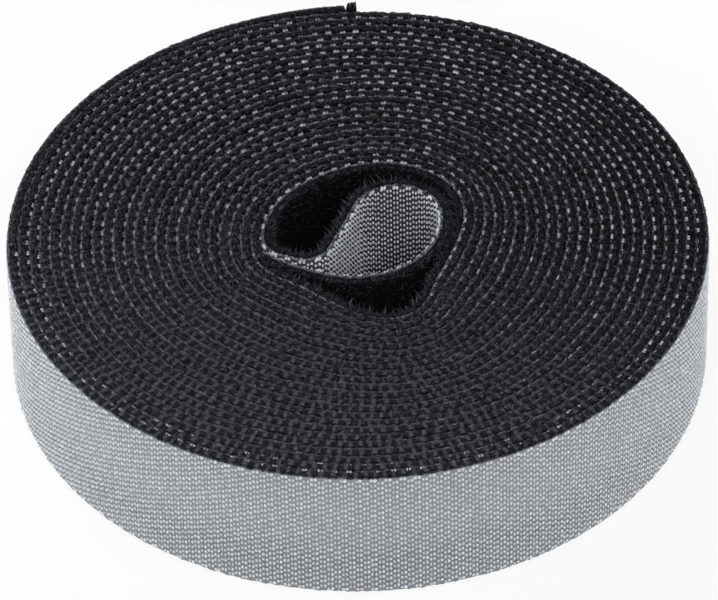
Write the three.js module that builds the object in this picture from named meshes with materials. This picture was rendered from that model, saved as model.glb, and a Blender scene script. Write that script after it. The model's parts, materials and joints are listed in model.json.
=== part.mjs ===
// A roll of double-faced hook and loop tape, lying flat, in millimetres with +Z up.
// Two cloths are bonded back to back: the grey hook cloth faces out and the black loop cloth faces in.
// The tape is wound on itself round an open hollow. Its inner end is folded back inside the hollow,
// and its outer end is a free stretch, cut into short lengths, that peels off the roll.
import * as THREE from 'three';

// The tape
const TAPE_WIDTH = 25;
const HOOK_CLOTH = 0.35;
const LOOP_CLOTH = 0.5;
const BOND_GAP = 0.2;

// The room between two turns, where hooks and pile hold each other
const GRIP_GAP = 0.63;

// The winding runs clockwise from its innermost point, and the radius is that of the bond line
const CORE_RADIUS = 16.2;
const TURNS = 24.25;
const STEPS_PER_TURN = 20;
const START_ANGLE = 180;

// The hollow is pressed out of round: direction and half-width in degrees, height outwards in millimetres
const LOBES = [
  { at: -71, halfWidth: 34, height: 3.3 },
  { at: -18, halfWidth: 58, height: -2 },
  { at: 50, halfWidth: 75, height: 2.2 },
  { at: 136, halfWidth: 106, height: -1 },
  { at: -127, halfWidth: 37, height: -2.6 },
];
const LOBE_FADE = 1.5;

// The folded inner end springs open as far as the hollow lets it, so its runs and bends are in core radii.
// It is followed inwards, and a positive sweep turns left, in degrees.
const FOLD = [
  { bend: 0.27, sweep: 70 },
  { run: 0.16 },
  { bend: 0.25, sweep: 90 },
  { run: 0.7 },
  { bend: 0.46, sweep: -152 },
  { bend: 0.88, sweep: -111 },
  { bend: 1.91, sweep: -22 },
];
const BEND_STEP = 20;

// The free end: lengths of one step each, the slit between two of them, and how far the tip stands off
const END_LENGTHS = 5;
const END_SLIT = 0.3;
const END_LIFT = 0.2;

const TURN_PITCH = HOOK_CLOTH + BOND_GAP + LOOP_CLOTH + GRIP_GAP;
const LAST_STEP = Math.round(TURNS * STEPS_PER_TURN);
const HOOK_SIDES = [BOND_GAP / 2, BOND_GAP / 2 + HOOK_CLOTH];
const LOOP_SIDES = [-BOND_GAP / 2 - LOOP_CLOTH, -BOND_GAP / 2];

const hookGrey = { color: 0x8b9194, roughness: 0.8, metalness: 0 };
const loopBlack = { color: 0x17171b, roughness: 1, metalness: 0 };

function direction(angle) {
  return new THREE.Vector2(Math.cos(angle), Math.sin(angle));
}

// Height of the lobes in one direction, each a raised cosine.
function lobeHeight(degrees) {
  let sum = 0;
  for (const { at, halfWidth, height } of LOBES) {
    const away = THREE.MathUtils.euclideanModulo(degrees - at + 180, 360) - 180;
    if (Math.abs(away) < halfWidth) {
      sum += (height * (1 + Math.cos((Math.PI * away) / halfWidth))) / 2;
    }
  }
  return sum;
}

// A point of the bond line in the winding, counted in steps from the innermost point.
function windingPoint(step) {
  const turns = step / STEPS_PER_TURN;
  const degrees = START_ANGLE - 360 * turns;
  const fade = (1 - turns / TURNS) ** LOBE_FADE;
  const lift = END_LIFT * Math.max(0, step - LAST_STEP + 1);
  const radius = CORE_RADIUS + TURN_PITCH * turns + fade * lobeHeight(degrees) + lift;
  return direction(THREE.MathUtils.degToRad(degrees)).multiplyScalar(radius);
}

// The bond line of the folded end, from the winding's innermost point inwards to the tip.
function foldPoints() {
  const points = [];
  let at = windingPoint(0);
  let heading = at.clone().sub(windingPoint(1 / STEPS_PER_TURN)).angle();
  for (const { run, bend, sweep } of FOLD) {
    const steps = run ? 1 : Math.ceil(Math.abs(sweep) / BEND_STEP);
    const turn = run ? 0 : THREE.MathUtils.degToRad(sweep) / steps;
    const share = run ?? 2 * bend * Math.sin(Math.abs(turn) / 2);
    for (let i = 0; i < steps; i += 1) {
      at = at.clone().addScaledVector(direction(heading + turn / 2), share * CORE_RADIUS);
      heading += turn;
      points.push(at);
    }
  }
  return points;
}

// Each point of a line with its side: the way out of the roll, mitred so that a cloth keeps its thickness.
function withSides(points) {
  return points.map((point, i) => {
    const back = point.clone().sub(points[i - 1] ?? point).normalize();
    const ahead = (points[i + 1] ?? point).clone().sub(point).normalize();
    const along = back.clone().add(ahead).normalize();
    const square = i > 0 ? back : ahead;
    const side = new THREE.Vector2(-along.y, along.x).divideScalar(along.dot(square));
    return { point, side };
  });
}

// The stretch of the tape between two of its points. An end at a slit is drawn back by half of it.
function stretch(from, to) {
  const part = tape.slice(from, to + 1);
  const drawBack = (end, next) => {
    const inwards = next.point.clone().sub(end.point).setLength(END_SLIT / 2);
    return { point: end.point.clone().add(inwards), side: end.side };
  };
  const first = from > 0 ? drawBack(part[0], part[1]) : part[0];
  const last = to < tape.length - 1 ? drawBack(part.at(-1), part.at(-2)) : part.at(-1);
  return [first, ...part.slice(1, -1), last];
}

// One face of a cloth seen from above, which is the tape's line moved sideways.
function face(line, offset) {
  return line.map(({ point, side }) => point.clone().addScaledVector(side, offset));
}

// A cloth stands on its edge: its outline from above, extruded over the width of the tape.
function cloth(name, line, [near, far], finish) {
  const outline = new THREE.Shape([...face(line, far), ...face(line, near).reverse()]);
  const geometry = new THREE.ExtrudeGeometry(outline, { depth: TAPE_WIDTH, bevelEnabled: false });
  const mesh = new THREE.Mesh(geometry, new THREE.MeshStandardMaterial(finish));
  mesh.name = name;
  return mesh;
}

// The least room between a wound cloth and its own neighbouring turns, from points along its middle.
function leastGap(line, [near, far]) {
  const middle = face(line, (near + far) / 2);
  const nearbySteps = STEPS_PER_TURN / 2;
  const foot = new THREE.Vector3();
  let least = Infinity;
  for (let i = 0; i < middle.length; i += 1) {
    const point = new THREE.Vector3(middle[i].x, middle[i].y, 0);
    for (let j = i + nearbySteps; j < middle.length - 1; j += 1) {
      const start = new THREE.Vector3(middle[j].x, middle[j].y, 0);
      const end = new THREE.Vector3(middle[j + 1].x, middle[j + 1].y, 0);
      new THREE.Line3(start, end).closestPointToPoint(point, true, foot);
      least = Math.min(least, foot.distanceTo(point));
    }
  }
  return least - (far - near);
}

const windingPoints = Array.from({ length: LAST_STEP + 1 }, (_, step) => windingPoint(step));
const tape = withSides([...foldPoints().reverse(), ...windingPoints]);
const peelStart = tape.length - 1 - END_LENGTHS;
const roll = new THREE.Group();

// The wound tape, with its folded inner end
const wound = stretch(0, peelStart);
roll.add(cloth('hook_tape', wound, HOOK_SIDES, hookGrey));
roll.add(cloth('loop_tape', wound, LOOP_SIDES, loopBlack));
console.log('least gap of the hook tape to itself:', leastGap(wound, HOOK_SIDES).toFixed(2));
console.log('least gap of the loop tape to itself:', leastGap(wound, LOOP_SIDES).toFixed(2));

// The free end, which bends between its lengths
for (let i = 1; i <= END_LENGTHS; i += 1) {
  const length = stretch(peelStart + i - 1, peelStart + i);
  roll.add(cloth(`hook_end_${i}`, length, HOOK_SIDES, hookGrey));
  roll.add(cloth(`loop_end_${i}`, length, LOOP_SIDES, loopBlack));
}

// The origin is under the middle of the roll
const middle = new THREE.Box3().setFromObject(roll).getCenter(new THREE.Vector3());
roll.position.set(-middle.x, -middle.y, 0);
const part = new THREE.Group();
part.add(roll);

export default part;
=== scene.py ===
# %% [markdown]
# # A roll of hook and loop tape
#
# Double-faced tape is two narrow cloths bonded back to back. The grey one carries rows of short
# filament hooks and faces out, the black one has a brushed pile and faces in. The tape is wound on
# itself with no core: its inner end is folded back into an open hollow, and its outer end is free
# to peel off.
#
# The plan of this lesson is that of the factory. The tape is woven flat, where everything lies on a
# straight grid, and it is wound up afterwards. So places are given by three numbers in millimetres:
# along the tape from its inner tip, out from the bond between the cloths, and across the width from
# the lower edge.

# %% The frame
import json
import math
from collections import namedtuple
from itertools import product

import bmesh
import bpy
import numpy as np
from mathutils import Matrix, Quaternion, Vector


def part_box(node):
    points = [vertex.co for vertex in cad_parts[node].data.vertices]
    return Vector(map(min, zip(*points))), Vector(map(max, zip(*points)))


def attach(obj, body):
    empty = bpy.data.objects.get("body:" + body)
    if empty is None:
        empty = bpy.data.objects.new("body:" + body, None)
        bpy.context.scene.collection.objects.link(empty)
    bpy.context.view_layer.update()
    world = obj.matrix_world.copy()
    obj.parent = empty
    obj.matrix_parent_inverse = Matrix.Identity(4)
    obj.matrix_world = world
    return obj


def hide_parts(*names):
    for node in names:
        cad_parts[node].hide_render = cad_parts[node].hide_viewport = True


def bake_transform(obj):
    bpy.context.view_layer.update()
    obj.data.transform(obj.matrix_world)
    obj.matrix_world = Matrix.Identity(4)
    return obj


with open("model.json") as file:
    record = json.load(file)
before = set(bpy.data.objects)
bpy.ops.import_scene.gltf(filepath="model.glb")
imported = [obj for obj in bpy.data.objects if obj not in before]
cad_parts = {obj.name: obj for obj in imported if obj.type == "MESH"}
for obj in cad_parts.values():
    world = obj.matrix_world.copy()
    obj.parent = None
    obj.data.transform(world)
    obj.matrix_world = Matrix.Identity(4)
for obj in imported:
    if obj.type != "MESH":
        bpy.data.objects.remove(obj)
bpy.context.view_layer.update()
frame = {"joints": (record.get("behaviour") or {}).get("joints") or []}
MM = 0.001

# %% [markdown]
# ## The line of the tape
#
# Seen from above, the bond between the cloths is one long line. Most of it is an even spiral,
# pressed out of round near the hollow by a few lobes that fade outwards. The folded end goes on
# from its inner end as arcs and straight runs. A curve object could follow this line and carry an
# array of parts, but then each of many thousand hooks would be placed by a modifier. A sampled line
# with its sideways direction is simpler, because any mesh can be wound by looking up each of its
# points.

# %% Sizes of the winding, in millimetres
HOOK_CLOTH = 0.35
LOOP_CLOTH = 0.5
BOND_GAP = 0.2
GRIP_GAP = 0.63
TURN_PITCH = HOOK_CLOTH + BOND_GAP + LOOP_CLOTH + GRIP_GAP
CORE_RADIUS = 16.2
TURNS = 24.25
STEPS_PER_TURN = 20
START_ANGLE = 180
END_STEPS = 5
END_LIFT = 0.2
TAPE_WIDTH = (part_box("hook_tape")[1].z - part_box("hook_tape")[0].z) / MM

# Direction and half-width of each lobe in degrees, and its height
LOBES = ((-71, 34, 3.3), (-18, 58, -2.0), (50, 75, 2.2), (136, 106, -1.0), (-127, 37, -2.6))
LOBE_FADE = 1.5

# The fold, inwards: a bend has its radius in core radii and its turn in degrees, a run turns by 0
FOLD = ((0.27, 70), (0.16, 0), (0.25, 90), (0.7, 0), (0.46, -152), (0.88, -111), (1.91, -22))
print(f"{TURNS} turns, {TURN_PITCH:.2f} mm apart, of tape {TAPE_WIDTH:.1f} mm wide")

# %% Points of the spiral and of the fold
SAMPLES_PER_TURN = 720
FOLD_SAMPLE = 0.1

# A bit of line past the tip, for the threads that stick out there, in turns
RUN_OUT = 0.02

# The bit of the spiral whose direction the fold sets off in, in turns
FIRST_BIT = 1 / STEPS_PER_TURN**2


def lobe_height(degrees):
    height = np.zeros_like(degrees)
    for at, half_width, rise in LOBES:
        away = (degrees - at + 180) % 360 - 180
        swell = rise * (1 + np.cos(np.pi * away / half_width)) / 2
        height += np.where(np.abs(away) < half_width, swell, 0)
    return height


def winding(turns):
    """Points of the spiral, for an array of turns counted from its innermost point."""
    degrees = START_ANGLE - 360 * turns
    fade = np.maximum(0, 1 - turns / TURNS) ** LOBE_FADE
    lift = END_LIFT * np.maximum(0, STEPS_PER_TURN * (turns - TURNS) + 1)
    radius = CORE_RADIUS + TURN_PITCH * turns + fade * lobe_height(degrees) + lift
    angle = np.radians(degrees)
    return np.column_stack((radius * np.cos(angle), radius * np.sin(angle)))


def folded_end(start, heading):
    """Points of the fold, followed inwards from the start of the spiral."""
    steps, bends = [], []
    for size, sweep in FOLD:
        length = CORE_RADIUS * size * (abs(math.radians(sweep)) or 1)
        count = math.ceil(length / FOLD_SAMPLE)
        steps += [length / count] * count
        bends += [math.radians(sweep) / count] * count
    headings = heading + np.cumsum(bends) - np.array(bends) / 2
    moves = np.column_stack((np.cos(headings), np.sin(headings))) * np.array(steps)[:, None]
    return start + np.cumsum(moves, axis=0)


turns = np.linspace(0, TURNS + RUN_OUT, round((TURNS + RUN_OUT) * SAMPLES_PER_TURN) + 1)
spiral = winding(turns)
inwards = spiral[0] - winding(np.array([FIRST_BIT]))[0]
fold = folded_end(spiral[0], math.atan2(inwards[1], inwards[0]))
print(f"{len(spiral)} points on the spiral and {len(fold)} on the fold")

# %% The line and its sideways direction
# The free end turns on the first hinge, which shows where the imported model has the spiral's middle
hinge = Vector(frame["joints"][0]["pos_m"]) / MM
hinge_turns = np.array([TURNS - END_STEPS / STEPS_PER_TURN])
middle = np.array(hinge.xy) - winding(hinge_turns)[0]

line = np.concatenate((fold[::-1], spiral)) + middle
line_along = np.concatenate(([0], np.cumsum(np.linalg.norm(np.diff(line, axis=0), axis=1))))
heading = np.gradient(line, line_along, axis=0)
heading /= np.linalg.norm(heading, axis=1)[:, None]
sideways = np.column_stack((-heading[:, 1], heading[:, 0]))


def along_at(turn):
    """How far along the tape a turn of the spiral is."""
    return float(np.interp(turn, turns, line_along[len(fold):]))


FOLD_LENGTH = along_at(0)
TAPE_LENGTH = along_at(TURNS)
print(f"the tape is {TAPE_LENGTH / 1000:.2f} m long, and {FOLD_LENGTH:.0f} mm of it are the fold")

# %% [markdown]
# ## Winding
#
# A hand-wound roll isn't perfect. Here and there a turn stands a little higher than its neighbours
# or lies a little further out. That could be sculpted on the finished roll, but as slow waves along
# the tape, added while it is wound, it moves cloths, hooks and fibres alike. At the tip the scissors
# first made a short slit, and the last bit of tape behind it has sprung out and stands higher.

# %% Slow waves, and the cut at the tip
RISE = 0.3
SWAY = 0.09

# Each wave has the length of tape that it takes for a radian, and the angle it starts with
RISE_WAVES = ((41, 0), (67, 2), (23, 4))
SWAY_WAVES = ((17, 1), (29, 0))

TIP_LENGTH = 1.7
TIP_FLARE = 0.25
TIP_RISE = 0.5
SLIT_WIDTH = 0.3
SLIT_DEPTH = 1.1

# How quickly the work of the scissors fades below the upper edge, as a power
CUT_FADE = 12


def sum_of_waves(along, waves):
    return sum(np.sin(along / length + angle) for length, angle in waves)


def rise(along):
    return RISE * (len(RISE_WAVES) + sum_of_waves(along, RISE_WAVES)) / (2 * len(RISE_WAVES))


def sway(along):
    mean_wave = sum_of_waves(along, SWAY_WAVES) / len(SWAY_WAVES)
    springing = np.clip((along - TAPE_LENGTH + TIP_LENGTH) / TIP_LENGTH, 0, 1)
    return SWAY * mean_wave + TIP_FLARE * springing


def cut(along, across):
    """What the scissors did to the upper edge near the tip."""
    past_slit = along - TAPE_LENGTH + TIP_LENGTH
    slit = np.maximum(0, 1 - np.abs(past_slit) / SLIT_WIDTH)
    upper_edge = np.clip(across / TAPE_WIDTH, 0, 1) ** CUT_FADE
    return upper_edge * (TIP_RISE * np.clip(past_slit / SLIT_WIDTH, 0, 1) - SLIT_DEPTH * slit)


print(f"turns rise by up to {RISE} mm and sway by {SWAY} mm")


# %% Winding a flat mesh
def wind(places):
    """Turns rows of (along, out, across) in millimetres into places on the roll in metres."""
    along, out, across = places.T
    out = out + sway(along)
    across = across + cut(along, across)
    x = np.interp(along, line_along, line[:, 0]) + out * np.interp(along, line_along, sideways[:, 0])
    y = np.interp(along, line_along, line[:, 1]) + out * np.interp(along, line_along, sideways[:, 1])
    return np.column_stack((x, y, across + rise(along))) * MM


def on_roll(along):
    """The place of the bond line at mid-width, for joints."""
    return Vector(wind(np.array([[along, 0, TAPE_WIDTH / 2]]))[0])


print("tip of the tape in mm:", [round(x / MM, 1) for x in on_roll(TAPE_LENGTH)])

# %% [markdown]
# ## What moves
#
# The free outer end is five lengths on hinges. Tape doesn't fold at a hinge, it bends evenly. Where
# it leaves the roll, a blend between the roll and the first length is listed over a few
# millimetres. Past that, a length that only followed its own body would stay as round as it was on
# the roll, and the peeled end would be scalloped. So each length is listed as leaning towards the
# next body, with a share that grows up to the next hinge, in a short part that takes up the lean
# and a long one that goes on, since a blend starts slowly. The blend itself isn't made: a piece on
# two bodies is only baked where it was wound, and attached to neither.

# %% Stretches of the tape and the bodies that carry them
# Half the blend at the first hinge, and the short part of each length
FRONT = 1.5
EASING = 2.7

# The share of the next body at the end of the short part, and at the next hinge
EASED_SHARE = 0.06
HINGE_SHARE = 0.6

# The shares are those of the second body at the start and at the end of a stretch
Stretch = namedtuple("Stretch", "name start end bodies shares stands_for")
hinges = [along_at(TURNS - k / STEPS_PER_TURN) for k in range(END_STEPS, 0, -1)]
chain = [f"end_{k}" for k in range(1, END_STEPS + 1)]

ROLL = Stretch("roll", 0.0, hinges[0] - FRONT, ("roll",), (), "tape")
ENDS = [Stretch("front", ROLL.end, hinges[0] + FRONT, ("roll", chain[0]), (0, 1), chain[0])]
for pair, next_hinge in zip(zip(chain, chain[1:]), hinges[1:]):
    name = pair[0]
    start = ENDS[-1].end
    eased = start + EASING
    ENDS.append(Stretch(f"{name}_near", start, eased, pair, (0, EASED_SHARE), name))
    ENDS.append(Stretch(f"{name}_far", eased, next_hinge, pair, (EASED_SHARE, HINGE_SHARE), name))
ENDS.append(Stretch(chain[-1], hinges[-1], TAPE_LENGTH, tuple(chain[-2:]), (HINGE_SHARE, 1), chain[-1]))
for stretch in (ROLL, *ENDS):
    length = stretch.end - stretch.start
    print(f"{stretch.name}: {length:.1f} mm, carried by {' and '.join(stretch.bodies)}")


# %% Carrying a piece
def progress(share):
    """How far a blend has come where it reaches that share. It starts and ends slowly."""
    return 0.5 - math.sin(math.asin(1 - 2 * share) / 3)


def carry(piece, stretch):
    if len(stretch.bodies) == 1:
        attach(piece, stretch.bodies[0])
        return
    before, after = (progress(share) for share in stretch.shares)
    near, far = on_roll(stretch.start), on_roll(stretch.end)
    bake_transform(piece)


print(f"a blend reaches {EASED_SHARE} after {progress(EASED_SHARE):.2f} of its length")

# %% [markdown]
# ## Writing a finish
#
# A finish is a small network of nodes. Written node by node, its sums are hard to read. So a socket
# is wrapped in a class with the usual operators, and 1 - height in Python becomes a Math node. All
# other nodes come from one method, which takes the kind of node, its settings and what goes into
# its sockets.

# %% Sockets as expressions
class Wire:
    """The output of a node, on its way to the next one."""

    def __init__(self, finish, socket):
        self.finish = finish
        self.socket = socket

    def other(self, output):
        return Wire(self.finish, self.socket.node.outputs[output])

    def maths(self, operation, first, second=0.0):
        return self.finish.node("ShaderNodeMath", {"operation": operation}, {0: first, 1: second})

    def __add__(self, number):
        return self.maths("ADD", self, number)

    def __radd__(self, number):
        return self.maths("ADD", number, self)

    def __sub__(self, number):
        return self.maths("SUBTRACT", self, number)

    def __rsub__(self, number):
        return self.maths("SUBTRACT", number, self)

    def __mul__(self, number):
        return self.maths("MULTIPLY", self, number)

    def __rmul__(self, number):
        return self.maths("MULTIPLY", number, self)

    def __abs__(self):
        return self.maths("ABSOLUTE", self)

    def sine(self):
        return self.maths("SINE", self)

    def root(self):
        return self.maths("SQRT", self)

    def wave(self):
        """A sine that runs from 0 to 1 and back once for each whole number."""
        return 0.5 + 0.5 * (self * math.tau).sine()


print("sums of sockets are written with", Wire.__name__)


# %% Nodes of a finish
class Finish:
    """The nodes of a material or of the world."""

    def __init__(self, owner):
        owner.use_nodes = True
        self.tree = owner.node_tree
        self.tree.nodes.clear()

    def node(self, kind, settings=None, sockets=None, output=0):
        made = self.tree.nodes.new(kind)
        for name, value in (settings or {}).items():
            setattr(made, name, value)
        for name, value in (sockets or {}).items():
            if isinstance(value, Wire):
                self.tree.links.new(value.socket, made.inputs[name])
            else:
                made.inputs[name].default_value = value
        return Wire(self, made.outputs[output]) if made.outputs else None

    def mix(self, share, first, second):
        """A colour between two colours."""
        return self.node("ShaderNodeMix", {"data_type": "RGBA"}, {0: share, 6: first, 7: second}, output=2)

    def between(self, value, low, high):
        """0 below the low mark and 1 above the high one."""
        return self.node("ShaderNodeMapRange", {}, {0: value, 1: low, 2: high, 3: 0.0, 4: 1.0})

    def skin(self, surface):
        """Ends a material with a Principled node of those values."""
        skin = self.node("ShaderNodeBsdfPrincipled", {}, surface)
        self.node("ShaderNodeOutputMaterial", {}, {"Surface": skin})


print("their nodes are kept by", Finish.__name__)

# %% Greys and blacks
COOL = (1.0, 1.05, 1.1)
BLUISH = (1.0, 1.01, 1.24)


def grey(level):
    """A grey of that brightness, a touch cool."""
    return (*(level * channel for channel in COOL), 1.0)


def ink(level):
    """A bluish black or dark grey."""
    return (*(level * channel for channel in BLUISH), 1.0)


print("middle grey:", grey(0.5), "and black:", ink(0.01))

# %% [markdown]
# ## The filament's finish
#
# The hooks are nylon monofilament, pale grey and a little glossy. Each was cut and heat-set by
# itself, so no two are quite alike. A texture can't know which hook it is on, so each copy carries
# a map of its own: across the map is a shade drawn by lot for the whole copy, and up the map is the
# height from root to crown. The finish is then a plain function of the two, pale at the crown and
# darker at the root, which is painted shade. A hook that is held by the next turn's pile is painted
# black as shade on the side it is held by, and pale on the other. The black fibres of the pile are
# the same kind of thing, but matt, and few of them catch the light.

# %% Finishes that follow a strand
STRAND_MAP = "OFBake"
CROWN_POLISH = 0.15
DULL_ROUGHNESS = 0.25


def strand_finish(name, root, crown, dull, pale_span, roughness, gloss):
    material = bpy.data.materials.new(name)
    finish = Finish(material)
    strand = finish.node("ShaderNodeUVMap", {"uv_map": STRAND_MAP})
    shade = finish.node("ShaderNodeSeparateXYZ", {}, {"Vector": strand})
    height = shade.other("Y")
    painted_shading = finish.mix(finish.between(height, *pale_span), root, crown)
    surface = {
        "Base Color": finish.mix(shade, painted_shading, dull),
        "Roughness": roughness - CROWN_POLISH * height + DULL_ROUGHNESS * shade,
        "Specular IOR Level": gloss,
    }
    finish.skin(surface)
    return material


# The dark root is painted shade, where the hooks stand on the ground
hook_filament = strand_finish(
    "hook_filament",
    root=grey(0.4),
    crown=grey(0.9),
    dull=grey(0.1),
    pale_span=(0.0, 1.0),
    roughness=0.42,
    gloss=0.7,
)
# Painted shade: black on the side towards the next turn, pale on the side towards its own cloth
held_filament = strand_finish(
    "held_filament",
    root=ink(0.02),
    crown=grey(0.55),
    dull=grey(0.04),
    pale_span=(0.42, 0.72),
    roughness=0.6,
    gloss=0.1,
)
pile_fibre = strand_finish(
    "pile_fibre",
    root=ink(0.05),
    crown=ink(0.18),
    dull=ink(0.002),
    pale_span=(0.0, 1.0),
    roughness=0.8,
    gloss=0.05,
)
print("strand finishes:", hook_filament.name, held_filament.name, pile_fibre.name)

# %% [markdown]
# ## The ground cloths' finish
#
# Under the hooks and the pile is a plain weave. Its threads are finer than a pixel of the picture,
# but they break up the light between the hooks. The weave repeats with the rows of hooks, so it is
# drawn from waves on a map that counts those repeats along the tape, and across it from the middle
# of its width. On the outer turn the ground is painted lighter than in the fold, which is in shade,
# and its foot lighter still, as painted light bounced up from the table.
#
# The cut edges are frayed: fine streaks run along them, from a noise that is stretched along the
# tape and counted outwards by the distance from the roll's middle. Towards the front and the left
# painted light falls on the edges: it evens out the streaks over there, and the stitches of the pile
# stand out instead. Towards the right and the back painted shade leaves fewer streaks.

# %% Stitches and streaks
HOOK_REPEAT = 2.29
STITCH = 1.75

# How far the count of stitches strays, and how quickly along the tape
STITCH_DRIFT = ((0.3, 0.19), (0.25, 0.37))

STREAK_LENGTH = 0.75
STREAK_WIDTH = 0.36
STREAK_GRAIN = {"Scale": 1.0, "Detail": 4.0, "Roughness": 0.7}

# Painted light at the middle of the roll, and what each millimetre to the left and to the front adds to it
PAINTED_LIGHT_MIDDLE = 0.1
PAINTED_LIGHT_LEFT = 0.004
PAINTED_LIGHT_FRONT = 0.018

# Painted shade: what each millimetre to the right and to the back adds, and what it takes off
PAINTED_SHADE_RIGHT = 0.012
PAINTED_SHADE_BACK = 0.002
PAINTED_SHADE_CUT = 0.06


def sine(value):
    """The sine of a wire or of an array."""
    return value.sine() if isinstance(value, Wire) else np.sin(value)


def stitches_at(along):
    """How many stitches of the pile lie before a place along the tape. They are a little uneven."""
    count = along * (1 / STITCH)
    for swing, pace in STITCH_DRIFT:
        count = count + swing * sine(along * pace)
    return count


def frayed(finish, along):
    """Streaks along the cut edge, between 0 and 1, fewer where shade is painted, and the painted light on
    it.
    """
    place = finish.node("ShaderNodeTexCoord", output="Object")
    x = finish.node("ShaderNodeSeparateXYZ", {}, {"Vector": place})
    y = x.other("Y")
    outwards = (x * x + y * y).root() * (1 / (STREAK_WIDTH * MM))
    stretched = {"X": along * (HOOK_REPEAT / STREAK_LENGTH), "Y": outwards}
    grain = {"Vector": finish.node("ShaderNodeCombineXYZ", {}, stretched), **STREAK_GRAIN}
    noise = finish.node("ShaderNodeTexNoise", {"noise_dimensions": "2D"}, grain)
    # Painted light grows to the left and the front, painted shade to the right and the back
    painted_light = finish.between(PAINTED_LIGHT_MIDDLE - x * (PAINTED_LIGHT_LEFT / MM) - y * (PAINTED_LIGHT_FRONT / MM), 0.0, 1.0)
    painted_shading = finish.between(x * (PAINTED_SHADE_RIGHT / MM) + y * (PAINTED_SHADE_BACK / MM), 0.0, 1.0)
    return noise - PAINTED_SHADE_CUT * painted_shading, painted_light


print(f"the tape has {stitches_at(TAPE_LENGTH):.0f} stitches along each edge")

# %% Colour of a frayed rim
HOLLOW_END = along_at(1.0)
FADE_LENGTH = 60
STREAK_MEAN = 0.5
PAINTED_LIGHT_COVER = 0.45

# The part of a stitch's wave that is its tuft
TUFT_SPAN = (0.5, 0.95)


def past(finish, along, place):
    """0 well before a place along the tape, and 1 from there on."""
    return finish.between(along, (place - FADE_LENGTH) / HOOK_REPEAT, place / HOOK_REPEAT)


def rim_colour(finish, ground, along):
    streaks, painted_light = frayed(finish, along)
    tuft = finish.between(stitches_at(along * HOOK_REPEAT).wave(), *TUFT_SPAN)
    # Painted light evens out the streaks, brings out the tufts, and sets the bed and the outer rim
    streaky = STREAK_MEAN + (streaks - STREAK_MEAN) * (1 - PAINTED_LIGHT_COVER * painted_light)
    fluff = finish.between(streaky + ground.tufting * tuft * painted_light, *ground.fray)
    inner = finish.mix(fluff, ground.gaps, ground.inner_rim)
    bed = finish.mix(painted_light, ground.gaps, ground.dusty_bed)
    outer = finish.mix(fluff, bed, finish.mix(painted_light, ground.clean_rim, ground.dusty_rim))
    return finish.mix(past(finish, along, HOLLOW_END), inner, outer)


print(f"rims change over {FADE_LENGTH} mm up to {HOLLOW_END:.0f} mm along the tape")

# %% Finish of a woven ground
ROW_PITCH = 1.075
WARP_THREADS = 8
WEFT_THREADS = 3
THREAD_POLISH = 0.1
THREAD_GLOSS = 0.05
THREAD_RELIEF = 0.1
RELIEF_STRENGTH = 0.6
OUTER_TURN = along_at(TURNS - 1.25)
# How much of the painted wall light the outer turn's ground takes
PAINTED_WALL_SHARE = 0.8

# Where the painted light bounced from the table onto the wall's foot starts and is full, in rows of hooks
# from mid-width
FOOT_SPAN = (-5.5, -11.5)

# Where the rim starts and is full, in rows from the edge
RIM_START = 0.08
RIM_FULL = 0.01


def ground_finish(ground):
    material = bpy.data.materials.new(ground.name)
    finish = Finish(material)
    repeats = finish.node("ShaderNodeUVMap", {"uv_map": STRAND_MAP})
    along = finish.node("ShaderNodeSeparateXYZ", {}, {"Vector": repeats})
    across = along.other("Y")

    warp = (along * WARP_THREADS).wave()
    weft = (across * WEFT_THREADS).wave()
    thread = warp * weft + (1 - warp) * (1 - weft)
    woven = finish.mix(thread, ground.gaps, ground.threads)
    # Painted light: the outer turn is lighter than the shaded fold, and its foot lighter still
    painted_wall = finish.mix(finish.between(across, *FOOT_SPAN), ground.worn, ground.foot)
    face = finish.mix(past(finish, along, OUTER_TURN) * PAINTED_WALL_SHARE, woven, painted_wall)
    bumps = {"Height": thread, "Strength": RELIEF_STRENGTH, "Distance": THREAD_RELIEF * MM}

    edge = (TAPE_WIDTH / 2 - ground.inset) / ROW_PITCH
    at_rim = finish.between(abs(across), edge - RIM_START, edge - RIM_FULL)
    surface = {
        "Base Color": finish.mix(at_rim, face, rim_colour(finish, ground, along)),
        "Roughness": ground.roughness - THREAD_POLISH * thread,
        "Normal": finish.node("ShaderNodeBump", {}, bumps),
        "Specular IOR Level": THREAD_GLOSS,
    }
    finish.skin(surface)
    return material


print(f"{WARP_THREADS} threads to a repeat of {HOOK_REPEAT} mm along, and {WEFT_THREADS} to a row across")

# %% The two grounds
HOOK_INSET = 0.22
LOOP_INSET = 0.1
FACE_COLOURS = "gaps threads worn foot"
# Rim colours: in the hollow, and as painted light, for the bed at the front and for the rim at the back
# and at the front
RIM_COLOURS = "inner_rim dusty_bed clean_rim dusty_rim"
Ground = namedtuple("Ground", f"name {FACE_COLOURS} {RIM_COLOURS} fray tufting inset roughness")
GROUNDS = (
    Ground(
        name="hook_ground",
        gaps=ink(0.015),
        threads=ink(0.06),
        worn=grey(0.3),
        foot=grey(0.45),
        inner_rim=grey(0.22),
        dusty_bed=ink(0.012),
        clean_rim=ink(0.15),
        dusty_rim=ink(0.09),
        fray=(0.44, 0.6),
        tufting=0.12,
        inset=HOOK_INSET,
        roughness=0.8,
    ),
    Ground(
        name="loop_ground",
        gaps=ink(0.001),
        threads=ink(0.003),
        worn=ink(0.003),
        foot=ink(0.003),
        inner_rim=ink(0.016),
        dusty_bed=ink(0.01),
        clean_rim=ink(0.075),
        dusty_rim=ink(0.075),
        fray=(0.51, 0.7),
        tufting=0.2,
        inset=LOOP_INSET,
        roughness=0.9,
    ),
)
hook_ground, loop_ground = (ground_finish(ground) for ground in GROUNDS)
print("woven grounds:", hook_ground.name, loop_ground.name)

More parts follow.
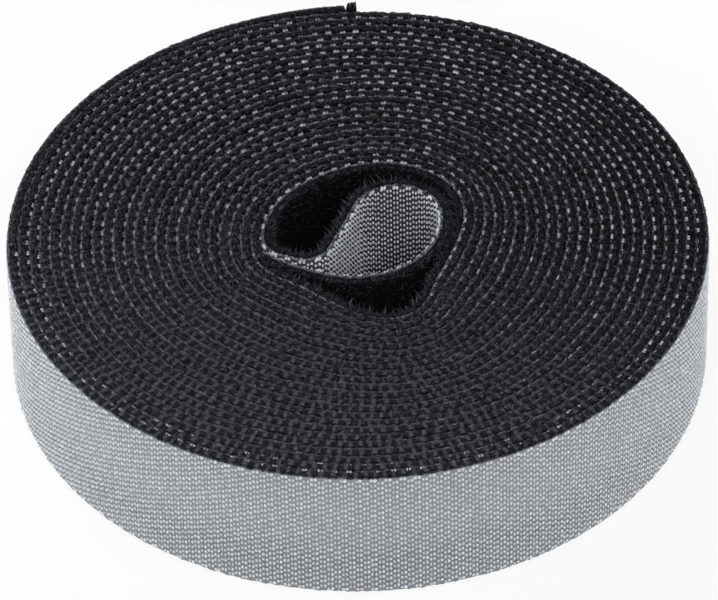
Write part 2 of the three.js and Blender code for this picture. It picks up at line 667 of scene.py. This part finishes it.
# %% [markdown]
# ## The two cloths
#
# A cloth this thin could be a single sheet, but its cut edge shows on every turn, so it needs its
# thickness. A grid is laid flat, wound, and thickened by a Solidify modifier on both sides of its
# middle. The loop cloth's thickness takes in the adhesive behind it and the matted foot of its
# pile, so its edge is ragged and rises at each tuft. In the hollow nothing squeezes the pile up,
# and its foot ends lower.

# %% Points and maps of a mesh
def places_of(mesh):
    places = np.empty(len(mesh.vertices) * 3)
    mesh.vertices.foreach_get("co", places)
    return places.reshape(-1, 3)


def set_places(mesh, places):
    mesh.vertices.foreach_set("co", places.ravel())
    mesh.update()


def set_map(mesh, points):
    """Gives each corner of a face the place on the map that its vertex has."""
    vertex = np.empty(len(mesh.loops), dtype=np.int32)
    mesh.loops.foreach_get("vertex_index", vertex)
    chart = mesh.uv_layers.get(STRAND_MAP) or mesh.uv_layers.new(name=STRAND_MAP)
    chart.uv.foreach_set("vector", points[vertex].ravel())


print("each mesh has one map,", STRAND_MAP)


# %% Objects, and the pieces they become
def applied(piece):
    """The mesh of an object with its modifiers applied. The object is removed."""
    seen = piece.evaluated_get(bpy.context.evaluated_depsgraph_get())
    mesh = bpy.data.meshes.new_from_object(seen)
    bpy.data.objects.remove(piece)
    return mesh


def new_object(name, data):
    made = bpy.data.objects.new(name, data)
    bpy.context.scene.collection.objects.link(made)
    return made


def new_piece(name, mesh, material):
    mesh.materials.clear()
    mesh.materials.append(material)
    mesh.name = name
    piece = new_object(name, mesh)
    return piece


def mesh_from(name, bm):
    """Makes a bmesh a mesh, and frees it."""
    mesh = bpy.data.meshes.new(name)
    bm.to_mesh(mesh)
    bm.free()
    return mesh


def count_of(pieces):
    return f"{len(pieces)} pieces, {sum(len(piece.data.polygons) for piece in pieces)} faces"


print("pieces are kept in", bpy.context.scene.collection.name)

# %% Sizes of the cloths
HOOK_FACE = BOND_GAP / 2 + HOOK_CLOTH
LOOP_FACE = -BOND_GAP / 2 - LOOP_CLOTH
MAT_DEPTH = 0.5
LOOP_MAT = LOOP_FACE - MAT_DEPTH
LOOP_SUNK = 0.35
Cloth = namedtuple("Cloth", "name sides inset step ragged tufted sunk finish slot")
HOOK = Cloth(
    name="hook",
    sides=(0.0, HOOK_FACE),
    inset=HOOK_INSET,
    step=0.5,
    ragged=0.09,
    tufted=0.0,
    sunk=0.0,
    finish=hook_ground,
    slot="hook_cloth",
)
LOOP = Cloth(
    name="loop",
    sides=(LOOP_MAT, 0.0),
    inset=LOOP_INSET,
    step=0.44,
    ragged=0.1,
    tufted=0.08,
    sunk=LOOP_SUNK,
    finish=loop_ground,
    slot="loop_cloth",
)
for cloth in (HOOK, LOOP):
    print(f"{cloth.name} cloth: from {cloth.sides[0]:.2f} to {cloth.sides[1]:.2f} mm out")

# %% Weaving and winding a cloth
# Faces are shorter at the tip, where the cut shows
TIP_STEP = 0.1
RAGGED_SEED = 1


def lay_flat(cloth, stretch):
    """A row of faces with the cloth's map, and where its points lie along and across the tape."""
    length = stretch.end - stretch.start
    steps = math.ceil(length / (TIP_STEP if stretch.end == TAPE_LENGTH else cloth.step))
    bm = bmesh.new()
    bmesh.ops.create_grid(bm, x_segments=steps, y_segments=1, size=0.5)
    mesh = mesh_from(cloth.name, bm)
    grid = places_of(mesh) + 0.5
    along = stretch.start + grid[:, 0] * length
    across = cloth.inset + grid[:, 1] * (TAPE_WIDTH - 2 * cloth.inset)
    set_map(mesh, np.column_stack((along / HOOK_REPEAT, (across - TAPE_WIDTH / 2) / ROW_PITCH)))
    return mesh, along, across


def ragged_edges(cloth, along, across):
    """Draws both edges in or out, by tufts and by lot."""
    lots = np.random.default_rng(RAGGED_SEED)
    edge = np.sign(across - TAPE_WIDTH / 2)
    tuft = np.sin(math.tau * stitches_at(along))
    sunk = cloth.sunk * np.clip((HOLLOW_END - along) / FADE_LENGTH, 0, 1)
    drawn_out = cloth.tufted * tuft + lots.normal(0, cloth.ragged, len(along)) - sunk
    return np.maximum(across + edge * drawn_out, 0)


def weave(cloth, stretch):
    mesh, along, across = lay_flat(cloth, stretch)
    out = np.full_like(along, sum(cloth.sides) / 2)
    set_places(mesh, wind(np.column_stack((along, out, ragged_edges(cloth, along, across)))))
    thin = new_piece(cloth.name, mesh, cloth.finish)
    thicken = thin.modifiers.new("thickness", "SOLIDIFY")
    thicken.thickness = (cloth.sides[1] - cloth.sides[0]) * MM
    thicken.offset = 0
    thicken.use_even_offset = True
    woven = applied(thin)
    woven.shade_smooth()
    piece = new_piece(f"{cloth.name}_cloth_{stretch.name}", woven, cloth.finish)
    carry(piece, stretch)
    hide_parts(f"{cloth.name}_{stretch.stands_for}")
    return piece


cloths = {cloth.name: [weave(cloth, stretch) for stretch in (ROLL, *ENDS)] for cloth in (HOOK, LOOP)}
for name, pieces in cloths.items():
    print(f"{name} cloth: {count_of(pieces)}")

# %% [markdown]
# ## Copies
#
# Hooks and fibres are small shapes repeated thousands of times. Instances would show them, but the
# roll is handed on as plain meshes. So an Array modifier makes the copies, all in one place, and
# each copy's points are then moved to where it belongs, with its own size and lean. Everything that
# looks random comes from a generator with a fixed seed, so the roll is the same each time.

# %% Repeating a small shape
# How far a copy reaches at most to each side of its shade on the map
SHADE_WIDTH = 0.02


def repeated(bm, count):
    """Copies of a small shape in one mesh, and the points of the shape."""
    mesh = mesh_from("copies", bm)
    shape = places_of(mesh)
    cell = new_object("copies", mesh)
    array = cell.modifiers.new("copies", "ARRAY")
    array.count = count
    array.use_relative_offset = False
    many = applied(cell)
    many.shade_smooth()
    return many, shape


def shade_by_lot(mesh, lots, girth, height):
    """The strand map: a lot between 0 and 1 for each copy, and the height of each of its points."""
    across = SHADE_WIDTH + (1 - 2 * SHADE_WIDTH) * lots[:, None] + SHADE_WIDTH * girth
    up = np.broadcast_to(height, across.shape)
    set_map(mesh, np.stack((across, up), axis=-1).reshape(-1, 2))


print(f"shades run from {SHADE_WIDTH} to {1 - SHADE_WIDTH} on the map")

# %% [markdown]
# ## Hooks
#
# On the face of the hook cloth, filaments come up in pairs of columns. Neighbouring pairs are half
# a row apart, as bricks are, and in each pair the second hook stands a little lower and duller.
# From a step away a hook is an oval bead, taller than wide, on a short neck that can't be seen. It
# starts as the coarsest icosphere, drawn out to an oval and sunk in the ground: twenty faces are
# enough for something three pixels wide.

# %% Hooks as beads
# Root and crown stay a little inside the map's border
MAP_MIDDLE = 0.5
MAP_REACH = 0.45


def beads(name, seats, halves, shades, stretch, material=hook_filament, pale_side=1):
    bm = bmesh.new()
    bmesh.ops.create_icosphere(bm, subdivisions=1, radius=1)
    mesh, shape = repeated(bm, len(seats))
    height = MAP_MIDDLE + MAP_REACH * pale_side * shape[:, 1]
    shade_by_lot(mesh, np.clip(shades, 0, 1), shape[:, 0], height)
    places = seats[:, None, :] + shape * halves[:, None, :]
    places[..., 2] = np.maximum(places[..., 2], 0)
    set_places(mesh, wind(places.reshape(-1, 3)))
    piece = new_piece(name, mesh, material)
    carry(piece, stretch)
    return piece


print(f"hooks stand on the face {HOOK_FACE} mm out")

# %% [markdown]
# The hooks are laid in full where the face of the cloth can be seen: in the fold, on the outer
# turn, and along the free end. The pairs next to the selvage are pressed together into one broad
# bead.

# %% Rows of hooks on a face
HOOK_PITCH = HOOK_REPEAT / 4
FIRST_ROW = 0.6
ROWS = 23
FACE_LIFT = 0.04
PAIR_STEP = 0.05
PAIR_SHADE = 0.1
BROAD = np.array([1.25, 1.1, 1.0])

# How much single hooks differ in place, size and shade
FACE_SLIP = (0.02, 0.02, 0.03)
FACE_SIZES = 0.05
FACE_SHADES = 0.22


def face_hooks(name, half, shade, start, end, stretch, seed):
    lots = np.random.default_rng(seed)
    columns = np.arange(math.ceil(start / HOOK_PITCH), math.ceil(end / HOOK_PITCH))
    column, row = (x.ravel() for x in np.meshgrid(columns, np.arange(ROWS)))
    low_pair = (column // 2) % 2
    there = row + low_pair < ROWS
    column, row, low_pair = column[there], row[there], low_pair[there]
    second = column % 2
    count = len(column)
    across = TAPE_WIDTH - FIRST_ROW - ROW_PITCH * (row + 0.5 * low_pair) - PAIR_STEP * second
    seats = np.column_stack((column * HOOK_PITCH, np.full(count, HOOK_FACE + FACE_LIFT), across))
    seats += lots.normal(0, FACE_SLIP, (count, 3))
    broad = (low_pair == 0) & ((row == 0) | (row == ROWS - 1))
    halves = half * lots.normal(1, FACE_SIZES, (count, 1)) * np.where(broad[:, None], BROAD, 1)
    shades = shade + lots.uniform(0, FACE_SHADES, count) + PAIR_SHADE * second
    return beads(name, seats, halves, shades, stretch)


print(f"{ROWS} rows, {ROW_PITCH} mm apart")

# %% Hooks on open faces
# Half sizes along, out and across, and shades: painted bright in the fold, to make up for its shade, and
# duller outside
INNER_HALF = np.array([0.205, 0.26, 0.335])
INNER_SHADE = 0.0
OUTER_HALF = np.array([0.262, 0.2, 0.385])
OUTER_SHADE = 0.29
OUTER_HALFWAY = (OUTER_TURN + ROLL.end) / 2
END_HOOKS_SEED = 20

grown = [
    face_hooks("hooks_fold", INNER_HALF, INNER_SHADE, 0, FOLD_LENGTH, ROLL, 11),
    face_hooks("hooks_wall_a", OUTER_HALF, OUTER_SHADE, OUTER_TURN, OUTER_HALFWAY, ROLL, 12),
    face_hooks("hooks_wall_b", OUTER_HALF, OUTER_SHADE, OUTER_HALFWAY, ROLL.end, ROLL, 13),
]
for seed, stretch in enumerate(ENDS, END_HOOKS_SEED):
    span = (stretch.start, stretch.end)
    grown.append(face_hooks(f"hooks_{stretch.name}", OUTER_HALF, OUTER_SHADE, *span, stretch, seed))
print("hooks on open faces:", count_of(grown))

# %% [markdown]
# Between the turns only the hooks along both edges show, as pairs that point out of the gap. They
# hold on to the pile of the next turn, which pulls them out, so they are longer and much less even.
# Their side towards that pile is painted black as shade, and the other side pale. The pile stands
# higher than they do and hides them from outside, most of all near the hollow, where the winding is
# tight, so there they get duller. They do at the left too, and towards the front they get painted
# shade. Only in the last two gaps, where the winding is loose, they come up beside the pile. On the
# rim of the fold nothing holds them, and they are small and clean.

# %% Hooks along the edges of the turns
# Where painted shade starts and is full towards the front, and the shade is full towards the left
FRONT_START = -5
FRONT_FULL = -35
LEFT_FULL = -40
LEFT_SHADE = 0.15
TIGHT_END = along_at(15)
TIGHT_SHADE = 0.4
EDGE_LIFT = 0.1
EDGE_SPACING = 0.46

# How much pairs differ in place, and single hooks in size and shade
EDGE_SLIP = (0.06, 0.05, 0.07)
EDGE_SIZES = 0.12
EDGE_SHADES = 0.1


def at_front(places):
    """1 at the front of the roll and 0 at its back: painted shade goes on held hooks there, and on tufts
    away from it.
    """
    y = wind(places)[:, 1] / MM
    return np.clip((y - FRONT_START) / (FRONT_FULL - FRONT_START), 0, 1)


def at_left(places):
    return np.clip(wind(places)[:, 0] / MM / LEFT_FULL, 0, 1)


def edge_hooks(rim):
    lots = np.random.default_rng(rim.seed)
    pairs = np.arange(math.ceil(rim.start / HOOK_REPEAT), math.floor(rim.end / HOOK_REPEAT))
    pair = np.repeat(pairs, 2)
    side = np.tile((0, 1), len(pairs))
    count = len(pair)
    slip = np.repeat(lots.normal(0, EDGE_SLIP, (len(pairs), 3)), 2, axis=0)
    along = pair * HOOK_REPEAT + EDGE_SPACING * side
    out = np.full(count, HOOK_FACE + EDGE_LIFT)
    seats = np.column_stack((along, out, np.full(count, rim.across))) + slip
    halves = rim.half * lots.normal(1, EDGE_SIZES, (count, 3))
    shades = np.repeat(lots.uniform(*rim.shades, len(pairs)), 2) + lots.normal(0, EDGE_SHADES, count)
    # Painted shade on held hooks towards the front
    shades += rim.hold.dust * at_front(seats)
    shades += TIGHT_SHADE * np.interp(along, (HOLLOW_END, TIGHT_END), (1, 0), left=0)
    shades += LEFT_SHADE * at_left(seats)
    return beads(rim.name, seats, halves, shades, ROLL, rim.hold.material, rim.hold.pale_side)


print(f"pairs of edge hooks are {HOOK_REPEAT} mm apart")

# %% The rims that have hooks
Hold = namedtuple("Hold", "material pale_side dust")
HELD = Hold(held_filament, pale_side=-1, dust=0.6)
FREE = Hold(hook_filament, pale_side=1, dust=0.0)
HELD_HALF = np.array([0.34, 0.42, 0.38])
FREE_HALF = np.array([0.25, 0.24, 0.33])
LOOSE_HALF = np.array([0.21, 0.27, 0.27])
FREE_SHADES = (0.1, 0.6)
INNER_SHADES = (0.0, 0.3)
HELD_SHADES = (0.05, 0.65)
LOOSE_SHADES = (0.4, 0.95)
LOOSE_TURN = along_at(TURNS - 3.3)

# Where the rows sit across the tape
LOW = 0.34
TOP = TAPE_WIDTH - LOW
LOOSE_LIFT = 0.14
LOOSE_LOW = LOW - LOOSE_LIFT
LOOSE_TOP = TOP + LOOSE_LIFT

Rim = namedtuple("Rim", "name hold half shades across start end seed")
RIMS = (
    Rim("hooks_upper_fold", FREE, FREE_HALF, FREE_SHADES, TOP, 0, FOLD_LENGTH, 19),
    Rim("hooks_upper_inner", HELD, HELD_HALF, INNER_SHADES, TOP, FOLD_LENGTH, HOLLOW_END, 18),
    Rim("hooks_upper_edge", HELD, HELD_HALF, HELD_SHADES, TOP, HOLLOW_END, LOOSE_TURN, 14),
    Rim("hooks_lower_edge", HELD, HELD_HALF, HELD_SHADES, LOW, 0, LOOSE_TURN, 15),
    Rim("hooks_upper_loose", FREE, LOOSE_HALF, LOOSE_SHADES, LOOSE_TOP, LOOSE_TURN, OUTER_TURN, 16),
    Rim("hooks_lower_loose", FREE, LOOSE_HALF, LOOSE_SHADES, LOOSE_LOW, LOOSE_TURN, OUTER_TURN, 17),
)
print("hooks along the edges:", count_of([edge_hooks(rim) for rim in RIMS]))

# %% [markdown]
# ## Fibres
#
# The pile is thousands of fine crimped fibres. Hair particles would give them, but they don't
# become part of the mesh, so each fibre is a slim three-sided cone, and a long one has one more
# ring at mid-height to bend at. It is placed by its root and the way it leans, and its tip is drawn
# aside.

# %% Planting fibres
FIBRE_SIDES = 3
BEND_HEIGHT = 0.55
Fibre = namedtuple("Fibre", "curl length width")


def by_lot(fibre, count, lots):
    """Curl, length and width of each fibre."""
    curl = lots.normal(0, fibre.curl, (count, 3))
    length = lots.uniform(*fibre.length, count)
    width = lots.uniform(*fibre.width, count)
    return curl, length, width


def slim_cone(bends):
    bm = bmesh.new()
    bmesh.ops.create_cone(bm, cap_ends=False, segments=FIBRE_SIDES, radius1=0.5, radius2=0, depth=1)
    bmesh.ops.translate(bm, verts=bm.verts, vec=(0, 0, 0.5))
    if bends:
        everything = [*bm.verts, *bm.edges, *bm.faces]
        bmesh.ops.bisect_plane(bm, geom=everything, plane_co=(0, 0, BEND_HEIGHT), plane_no=(0, 0, 1))
    return bm


def fibres(name, roots, lean, sizes, shades, stretch, lots, bends=True):
    mesh, shape = repeated(slim_cone(bends), len(roots))
    curl, length, width = sizes
    up = lean / np.linalg.norm(lean, axis=1)[:, None]
    left = np.cross(up, lots.normal(0, 1, up.shape))
    left /= np.linalg.norm(left, axis=1)[:, None]
    ahead = np.cross(up, left)
    girth_x, girth_y, height = shape.T
    places = roots[:, None, :] + (length[:, None] * height)[..., None] * up[:, None, :]
    places += (width[:, None] * girth_x)[..., None] * left[:, None, :]
    places += (width[:, None] * girth_y)[..., None] * ahead[:, None, :]
    places += (length[:, None] * height**2)[..., None] * curl[:, None, :]
    places[..., 2] = np.maximum(places[..., 2], 0)
    shade_by_lot(mesh, shades, girth_x, height)
    set_places(mesh, wind(places.reshape(-1, 3)))
    piece = new_piece(name, mesh, pile_fibre)
    carry(piece, stretch)
    return piece


print(f"pile grows from {LOOP_FACE} mm")

# %% [markdown]
# ## The pile
#
# Between two turns the pile is pressed against the hooks and can't be seen, so it is only planted
# where it shows: on the walls of the hollow, on both sides of the fold, and on the free end, which
# shows its pile when it is peeled. It was brushed towards one edge, so most fibres lean up. Near
# the upper edge they are painted paler, as light from above, and lower down darker, as shade.

# %% Pile on the open faces
PILE = Fibre(curl=0.2, length=(0.9, 1.7), width=(0.16, 0.28))
PILE_DENSITY = 3.0
PILE_END = along_at(1.05)
ROOT_DEPTH = 0.2

# How the fibres lean: a spread along the tape, an even lean out, and a mean and a spread upwards
LEAN_SIDE = 0.25
LEAN_OUT = -0.6
LEAN_UP = (0.8, 0.4)

# How deep the painted light below the upper edge reaches, and the power that makes pale fibres few
PAINTED_LIGHT_DEPTH = 6.0
FEW = 2
HOLLOW_PILE_SEED = 31
END_PILE_SEED = 40


def pile(name, start, end, stretch, seed):
    lots = np.random.default_rng(seed)
    count = round((end - start) * TAPE_WIDTH * PILE_DENSITY)
    along = lots.uniform(start, end, count)
    across = lots.uniform(LOOP_INSET, TAPE_WIDTH - LOOP_INSET, count)
    roots = np.column_stack((along, np.full(count, LOOP_FACE - ROOT_DEPTH), across))
    side = lots.normal(0, LEAN_SIDE, count)
    lean = np.column_stack((side, np.full(count, LEAN_OUT), lots.normal(*LEAN_UP, count)))
    sizes = by_lot(PILE, count, lots)
    # Painted light near the upper edge, painted shade lower down
    painted_top_light = np.exp((across - TAPE_WIDTH) / PAINTED_LIGHT_DEPTH)
    shades = 1 - painted_top_light * lots.uniform(0, 1, count) ** FEW
    return fibres(name, roots, lean, sizes, shades, stretch, lots)


brushed = [pile("pile_hollow", 0, PILE_END, ROLL, HOLLOW_PILE_SEED)]
for seed, stretch in enumerate(ENDS, END_PILE_SEED):
    brushed.append(pile(f"pile_{stretch.name}", stretch.start, stretch.end, stretch, seed))
print("pile:", count_of(brushed))

# %% [markdown]
# ## Tufts at the edges
#
# Seen from above, the pile comes out of the edge of its cloth in tufts, one to each stitch, which
# stand against the hooks of the next turn. Between them it is dark, so the top of the roll looks
# like a net. From the front the tufts stand before the hooks and hide them, and from behind the
# hooks stand before the tufts. Away from the front the tufts are painted darker, as the shade that
# their own tape casts on them against the light from behind. Finer stray fibres fill the room between.

# %% Tufts
TUFT = Fibre(curl=0.15, length=(0.8, 1.3), width=(0.13, 0.2))
TUFT_FIBRES = 6
TUFT_SPREAD = 0.14
TUFT_ROOT = 0.05

# How the fibres lean: a spread along the tape, an even lean out, and a span upwards
TUFT_SIDE = 0.3
TUFT_OUT = -1.0
TUFT_UP = (0.0, 0.3)

# Shades of whole tufts, how much their fibres differ, and the painted shade added away from the front
TUFT_SHADES = (0.1, 0.9)
TUFT_UNLIKE = 0.15
TUFT_FADE = 0.5

# The place of a tuft in its stitch, and the step at which stitches are counted along the tape
CREST = 0.25
COUNT_STEP = 0.1


def crests(start, end):
    """Where the stitches between two places stand highest."""
    first, last = (math.ceil(stitches_at(along) - CREST) for along in (start, end))
    measure = np.arange(start, end + COUNT_STEP, COUNT_STEP)
    return np.interp(np.arange(first, last) + CREST, stitches_at(measure), measure)


def tufts(edge, stretch, seed):
    lots = np.random.default_rng(seed)
    start = max(stretch.start, HOLLOW_END)
    middles = crests(start, stretch.end)
    count = len(middles) * TUFT_FIBRES
    spread = lots.normal(0, TUFT_SPREAD, count)
    along = np.clip(np.repeat(middles, TUFT_FIBRES) + spread, start, stretch.end)
    out = lots.uniform(LOOP_FACE - ROOT_DEPTH, 0.0, count)
    roots = np.column_stack((along, out, np.full(count, edge.across - TUFT_ROOT * edge.up)))
    rising = edge.up * lots.uniform(*TUFT_UP, count)
    lean = np.column_stack((lots.normal(0, TUFT_SIDE, count), np.full(count, TUFT_OUT), rising))
    sizes = by_lot(TUFT, count, lots)
    shades = np.repeat(lots.uniform(*TUFT_SHADES, len(middles)), TUFT_FIBRES)
    shades = shades + lots.normal(0, TUFT_UNLIKE, count) + TUFT_FADE * (1 - at_front(roots))
    name = f"tufts_{edge.name}_{stretch.name}"
    return fibres(name, roots, lean, sizes, np.clip(shades, 0, 1), stretch, lots)


print(f"{len(crests(HOLLOW_END, TAPE_LENGTH))} tufts of {TUFT_FIBRES} fibres along each edge")

# %% Stray fibres
STRAY = Fibre(curl=0.2, length=(0.4, 0.7), width=(0.09, 0.14))
STRAYS_PER_MM = 5.5
STRAY_REACH = 0.4
STRAY_ROOT = 0.3

# How the fibres lean: a spread along the tape, and a mean and a spread out
STRAY_SIDE = 0.5
STRAY_OUT = (-0.1, 0.3)

# The palest stray's share of light, and the power that makes pale ones few
STRAY_PALEST = 0.95
STRAY_FEW = 1.8


def strays(edge, stretch, seed):
    lots = np.random.default_rng(seed)
    start = max(stretch.start, HOLLOW_END)
    count = round((stretch.end - start) * STRAYS_PER_MM)
    along = lots.uniform(start, stretch.end, count)
    out = lots.uniform(LOOP_FACE - STRAY_REACH, LOOP_FACE + STRAY_REACH, count)
    roots = np.column_stack((along, out, np.full(count, edge.across - STRAY_ROOT * edge.up)))
    side = lots.normal(0, STRAY_SIDE, count)
    lean = np.column_stack((side, lots.normal(*STRAY_OUT, count), np.full(count, edge.up)))
    sizes = by_lot(STRAY, count, lots)
    shades = 1 - lots.uniform(0, STRAY_PALEST, count) ** STRAY_FEW
    name = f"strays_{edge.name}_{stretch.name}"
    return fibres(name, roots, lean, sizes, shades, stretch, lots, bends=False)


print(f"{STRAYS_PER_MM} stray fibres on each millimetre of edge")

# %% Both edges of every stretch
TUFT_SEED = 60
STRAY_SEED = 90
Edge = namedtuple("Edge", "name across up")
EDGES = (Edge("upper", TAPE_WIDTH - LOOP_INSET, 1), Edge("lower", LOOP_INSET, -1))

fringe = []
for k, (stretch, edge) in enumerate(product((ROLL, *ENDS), EDGES)):
    fringe.append(tufts(edge, stretch, TUFT_SEED + k))
    fringe.append(strays(edge, stretch, STRAY_SEED + k))
print("fringe:", count_of(fringe))

# %% [markdown]
# In the hollow nothing holds the pile down, so longer hairs stand out over the edge of the fold and
# of the first turn.

# %% Hairs in the hollow
HAIR = Fibre(curl=0.3, length=(0.4, 1.0), width=(0.1, 0.18))
HAIRS_PER_MM = 24.0
HAIRS_END = along_at(1.02)
HAIR_SEED = 33
HAIR_ROOT = 0.1
HAIR_TOP = TAPE_WIDTH - LOOP_INSET - LOOP_SUNK
HAIR_BAND = (LOOP_MAT, -0.05)

# How the hairs lean: a spread along the tape, a mean and a spread out, and a span upwards
HAIR_SIDE = 0.5
HAIR_OUT = (-0.6, 0.4)
HAIR_UP = (0.2, 0.9)

# The palest hair's share of light, and the power that makes pale ones few
HAIR_PALEST = 0.8
HAIR_FEW = 1.5


def hairs():
    lots = np.random.default_rng(HAIR_SEED)
    count = round(HAIRS_END * HAIRS_PER_MM)
    along = lots.uniform(0, HAIRS_END, count)
    across = HAIR_TOP - lots.uniform(0, HAIR_ROOT, count)
    roots = np.column_stack((along, lots.uniform(*HAIR_BAND, count), across))
    side = lots.normal(0, HAIR_SIDE, count)
    out = lots.normal(*HAIR_OUT, count)
    lean = np.column_stack((side, out, lots.uniform(*HAIR_UP, count)))
    sizes = by_lot(HAIR, count, lots)
    shades = 1 - lots.uniform(0, HAIR_PALEST, count) ** HAIR_FEW
    return fibres("hairs_hollow", roots, lean, sizes, shades, ROLL, lots)


print("hairs:", count_of([hairs()]))

# %% [markdown]
# ## The cloths as cut
#
# Each cloth is one narrow sheet. Its flat size is the tape's width, less what its edges are drawn in,
# and the length of the roll's stretch, measured along its line.

# %% The sheets' flat sizes
for cloth, other in ((HOOK, LOOP), (LOOP, HOOK)):
    flat = ((TAPE_WIDTH - 2 * cloth.inset) * MM, (ROLL.end - ROLL.start) * MM)
    print(f"{cloth.name} cloth: cut {flat[0]:.4f} by {flat[1]:.3f} m")

# %% [markdown]
# ## Stage, light and camera
#
# The roll lies on a white table in a light tent. Lamps stand to its left and right, behind it and
# low in front, and one hangs above the front. A white floor lit this evenly would still be grey, so
# what the camera sees of it is mostly white of its own, mixed with enough of the lit floor to keep
# the shadow.

# %% The floor and the surroundings
FLOOR_HALF = 3.0
TABLE_WHITE = (0.92, 0.92, 0.92, 1.0)
PURE_WHITE = (1.0, 1.0, 1.0, 1.0)
FLOOR_WHITE = 0.85
AMBIENT = 0.15


def seen_directly(finish):
    """1 for what the camera sees, also in shiny or clear surfaces, and 0 for light on its way."""
    path = finish.node("ShaderNodeLightPath", output="Is Camera Ray")
    return path + path.other("Is Glossy Ray") + path.other("Is Transmission Ray")


def lay_floor():
    bm = bmesh.new()
    bmesh.ops.create_grid(bm, x_segments=1, y_segments=1, size=FLOOR_HALF)
    mesh = mesh_from("floor", bm)
    floor = new_object("floor", mesh)
    material = bpy.data.materials.new("white_table")
    finish = Finish(material)
    lit = finish.node("ShaderNodeBsdfDiffuse", {}, {"Color": TABLE_WHITE})
    white = finish.node("ShaderNodeEmission", {}, {"Color": PURE_WHITE, "Strength": 1.0})
    share = seen_directly(finish) * FLOOR_WHITE
    table = finish.node("ShaderNodeMixShader", {}, {0: share, 1: lit, 2: white})
    finish.node("ShaderNodeOutputMaterial", {}, {"Surface": table})
    mesh.materials.append(material)


def surround():
    world = bpy.data.worlds.new("tent")
    bpy.context.scene.world = world
    finish = Finish(world)
    light = finish.node("ShaderNodeBackground", {}, {"Color": PURE_WHITE, "Strength": AMBIENT})
    white = finish.node("ShaderNodeBackground", {}, {"Color": PURE_WHITE, "Strength": 1.0})
    tent = finish.node("ShaderNodeMixShader", {}, {0: seen_directly(finish), 1: light, 2: white})
    finish.node("ShaderNodeOutputWorld", {}, {"Surface": tent})


lay_floor()
surround()
bpy.context.scene.view_settings.view_transform = "Standard"
print("floor and surroundings are white")

# %% Lamps
Lamp = namedtuple("Lamp", "name place width height watts")
LAMPS = (
    Lamp("left", (-0.6, -0.05, 0.12), 0.6, 0.2, 2.7),
    Lamp("right", (0.6, -0.05, 0.1), 0.6, 0.18, 2.2),
    Lamp("behind", (-0.25, 0.65, 0.34), 0.7, 0.4, 4.0),
    Lamp("front", (0.0, -0.8, 0.12), 0.8, 0.2, 0.7),
    Lamp("front_above", (0.0, -0.6, 0.6), 0.5, 0.4, 4.1),
)
for lamp in LAMPS:
    light = bpy.data.lights.new(lamp.name, "AREA")
    light.shape = "RECTANGLE"
    light.size = lamp.width
    light.size_y = lamp.height
    light.energy = lamp.watts
    stand = new_object(lamp.name, light)
    stand.location = lamp.place
    aim = Vector((0, 0, TAPE_WIDTH / 2 * MM)) - stand.location
    stand.rotation_euler = aim.to_track_quat("-Z", "Y").to_euler()
print("lamps:", ", ".join(lamp.name for lamp in LAMPS))

# %% [markdown]
# The photograph was taken from a metre away with a long lens, from 42 degrees above, with the
# camera a touch askew. A long lens flattens the roll, so the far turns look nearly as large as the
# near ones.

# %% The camera
CAMERA_BACK = 783.3
CAMERA_UP = 731.7
AIM_LEFT = 0.4
AIM_FRONT = 15.6
ASKEW_DEGREES = -1.1
SENSOR = 36.0
LENS = 328.1

lens = bpy.data.cameras.new("camera")
lens.sensor_width = SENSOR
lens.lens = LENS
camera = new_object("camera", lens)
spiral_middle = Vector((*middle, 0))
camera.location = (spiral_middle + Vector((0, -CAMERA_BACK, CAMERA_UP))) * MM
aim = (spiral_middle + Vector((-AIM_LEFT, -AIM_FRONT, TAPE_WIDTH))) * MM - camera.location
askew = Quaternion((0, 0, 1), math.radians(ASKEW_DEGREES))
camera.rotation_euler = (aim.to_track_quat("-Z", "Y") @ askew).to_euler()
bpy.context.scene.camera = camera
print(f"the camera is {aim.length:.2f} m from the middle of the roll")

# %% The end
bpy.context.view_layer.update()
